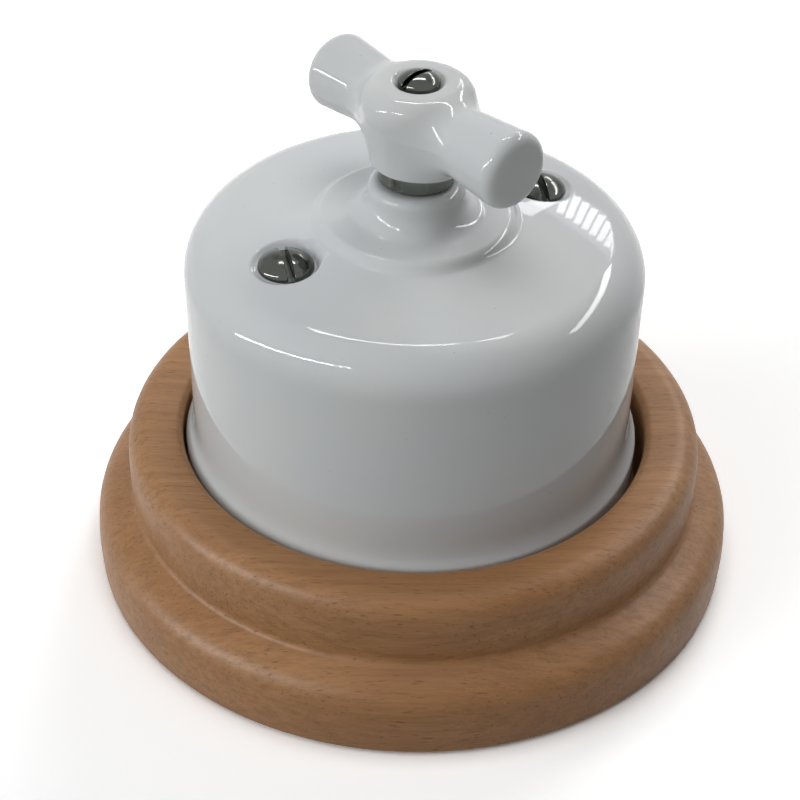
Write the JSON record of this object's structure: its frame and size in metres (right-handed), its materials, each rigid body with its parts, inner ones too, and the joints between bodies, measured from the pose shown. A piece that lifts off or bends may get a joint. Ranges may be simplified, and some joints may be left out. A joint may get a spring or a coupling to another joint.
{
  "type": "porcelain rotary light switch",
  "caption": "Surface-mounted rotary light switch: a domed white porcelain body with a T-shaped turn knob, set in a turned beech base for the wall.",
  "frame": {"origin": "on the spindle's axis, in the plane of the wooden base's back face", "axes": "+Z away from the wall along the spindle, X along the knob's arms at rest and along the two wall screws"},
  "size_m": [0.095, 0.095, 0.0801],
  "materials": {
    "beech": "satin, lightly oiled",
    "porcelain": "white gloss glaze",
    "nickel": "bright nickel plate",
    "steel": "zinc plated",
    "spring_steel": "blued spring steel",
    "brass": "plain turned and stamped brass",
    "bakelite": "moulded phenolic"
  },
  "bodies": {
    "switch_body": {"wooden_base": "beech", "porcelain_base": "porcelain", "porcelain_cover": "porcelain", "cover_pillars": "brass", "pillar_screws": "steel", "cover_screws": "nickel", "base_screws": "steel", "mechanism_frame": "steel", "frame_screws": "steel", "frame_nuts": "steel", "thrust_washer": "steel", "line_contact": "brass", "load_contact": "brass", "terminal_blocks": "brass", "contact_screws": "steel", "terminal_screws": "steel", "detent_spring": "spring_steel", "spring_post": "brass"},
    "turning_parts": {"turn_knob": "porcelain", "knob_collar": "nickel", "knob_screw": "nickel", "spindle": "steel", "spindle_clip": "steel", "rotor": "bakelite", "rotor_pin": "steel", "contact_blade": "brass", "blade_rivets": "brass", "detent_cam": "steel"}
  },
  "joints": [
    {"name": "knob_turn", "type": "hinge", "parent": "switch_body", "child": "turning_parts", "pos_m": [0, 0, 0.07], "axis": [0, 0, 1], "continuous": true, "deforming": ["detent_spring"]}
  ]
}
